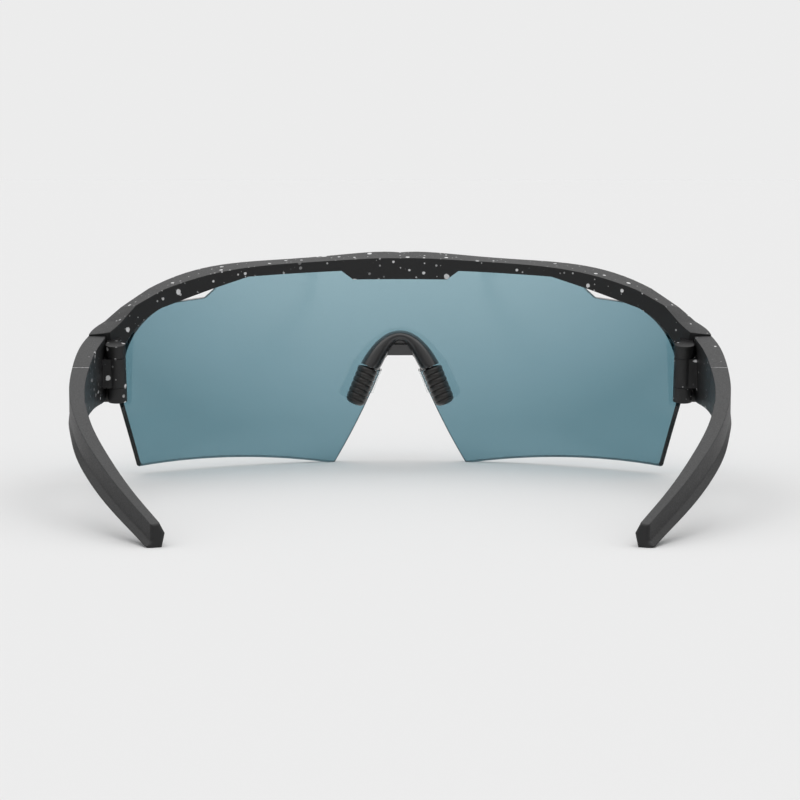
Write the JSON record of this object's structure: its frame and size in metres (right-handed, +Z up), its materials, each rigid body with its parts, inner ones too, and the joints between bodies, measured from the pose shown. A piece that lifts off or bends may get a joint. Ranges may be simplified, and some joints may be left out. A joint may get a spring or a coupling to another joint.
{
  "type": "wraparound sport sunglasses",
  "caption": "Half-rim wraparound sport sunglasses: curved shield lens in a brow frame, clip-in nose piece with bendable rubber pads, folding temples with rubber sleeves.",
  "frame": {"origin": "bottom centre of the box, with the temples open and the glasses standing on the lens corners and temple tips", "axes": "+Z up, the front of the glasses faces -Y, the wearer is on +Y, +X is the wearer's left"},
  "size_m": [0.1482, 0.1438, 0.0527],
  "materials": {
    "frame_plastic": "matte black nylon with fine pale paint speckles",
    "lens_tint": "transparent teal-grey polycarbonate, glossy on both faces",
    "nose_plastic": "glossy black",
    "clear_plastic": "clear glossy plastic",
    "pad_rubber": "satin black ribbed rubber",
    "sleeve_rubber": "matte black soft rubber",
    "wire_steel": "drawn steel wire",
    "screw_steel": "machined stainless steel",
    "insert_brass": "turned brass"
  },
  "bodies": {
    "front": {"front_frame": "frame_plastic", "shield_lens": "lens_tint", "nose_bridge": "nose_plastic", "left_lens_clip": "clear_plastic", "left_hinge_screw": "screw_steel", "left_hinge_insert": "insert_brass", "right_lens_clip": "clear_plastic", "right_hinge_screw": "screw_steel", "right_hinge_insert": "insert_brass"},
    "left_temple": {"left_temple_arm": "frame_plastic", "left_temple_sleeve": "sleeve_rubber", "left_tip_wire": "wire_steel", "left_hinge_bushing": "insert_brass"},
    "left_pad": {"left_nose_pad": "pad_rubber", "left_nose_pad_wire": "wire_steel"},
    "right_temple": {"right_temple_arm": "frame_plastic", "right_temple_sleeve": "sleeve_rubber", "right_tip_wire": "wire_steel", "right_hinge_bushing": "insert_brass"},
    "right_pad": {"right_nose_pad": "pad_rubber", "right_nose_pad_wire": "wire_steel"}
  },
  "joints": [
    {"name": "left_temple_fold", "type": "hinge", "parent": "front", "child": "left_temple", "pos_m": [0.0664, -0.02885, 0.026], "axis": [0, 0.2079, 0.9781], "range_deg": [0, 90]},
    {"name": "right_temple_fold", "type": "hinge", "parent": "front", "child": "right_temple", "pos_m": [-0.0664, -0.02885, 0.026], "axis": [0, -0.2079, -0.9781], "range_deg": [0, 72]},
    {"name": "left_pad_bend", "type": "hinge", "parent": "front", "child": "left_pad", "pos_m": [0.0077, -0.06352, 0.02444], "axis": [0, 0.9976, -0.0698], "range_deg": [-8, 8]},
    {"name": "right_pad_bend", "type": "hinge", "parent": "front", "child": "right_pad", "pos_m": [-0.0077, -0.06352, 0.02444], "axis": [0, -0.9976, 0.0698], "range_deg": [-8, 8]}
  ]
}
